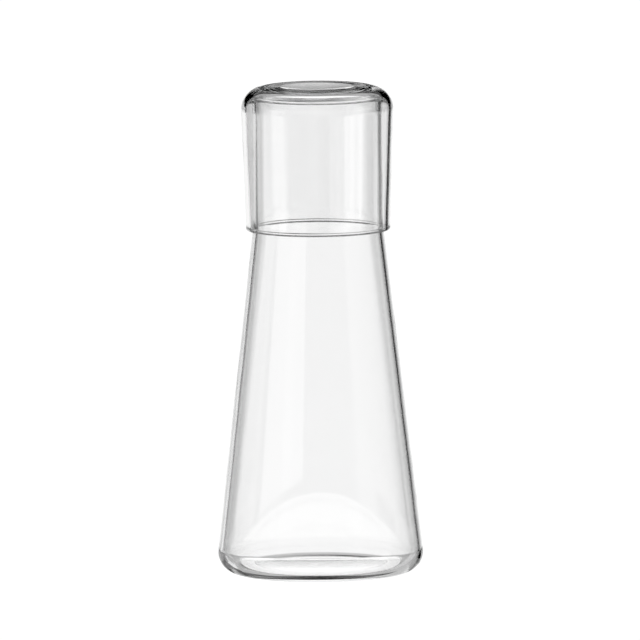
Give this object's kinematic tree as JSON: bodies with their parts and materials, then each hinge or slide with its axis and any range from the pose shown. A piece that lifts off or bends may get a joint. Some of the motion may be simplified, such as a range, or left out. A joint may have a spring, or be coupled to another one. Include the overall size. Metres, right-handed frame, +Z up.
{
  "type": "bedside carafe with tumbler",
  "caption": "Clear glass bedside carafe with a cone-shaped body and a straight neck, covered by a tumbler turned upside down over the neck.",
  "frame": {"origin": "on the axis of the carafe, in the plane of the level ring that it stands on", "axes": "+Z up along the shared axis of carafe and tumbler; the part is round, so +X and +Y are any two level directions at right angles"},
  "size_m": [0.094, 0.094, 0.224],
  "materials": {
    "carafe_glass": "clear, fire-polished",
    "tumbler_glass": "clear, fire-polished"
  },
  "bodies": {
    "carafe": {"carafe": "carafe_glass"},
    "tumbler": {"tumbler": "tumbler_glass"}
  },
  "joints": [
    {"name": "tumbler_lift", "type": "slide", "parent": "carafe", "child": "tumbler", "axis": [0, 0, 1], "range_m": [0, 0.07]}
  ]
}
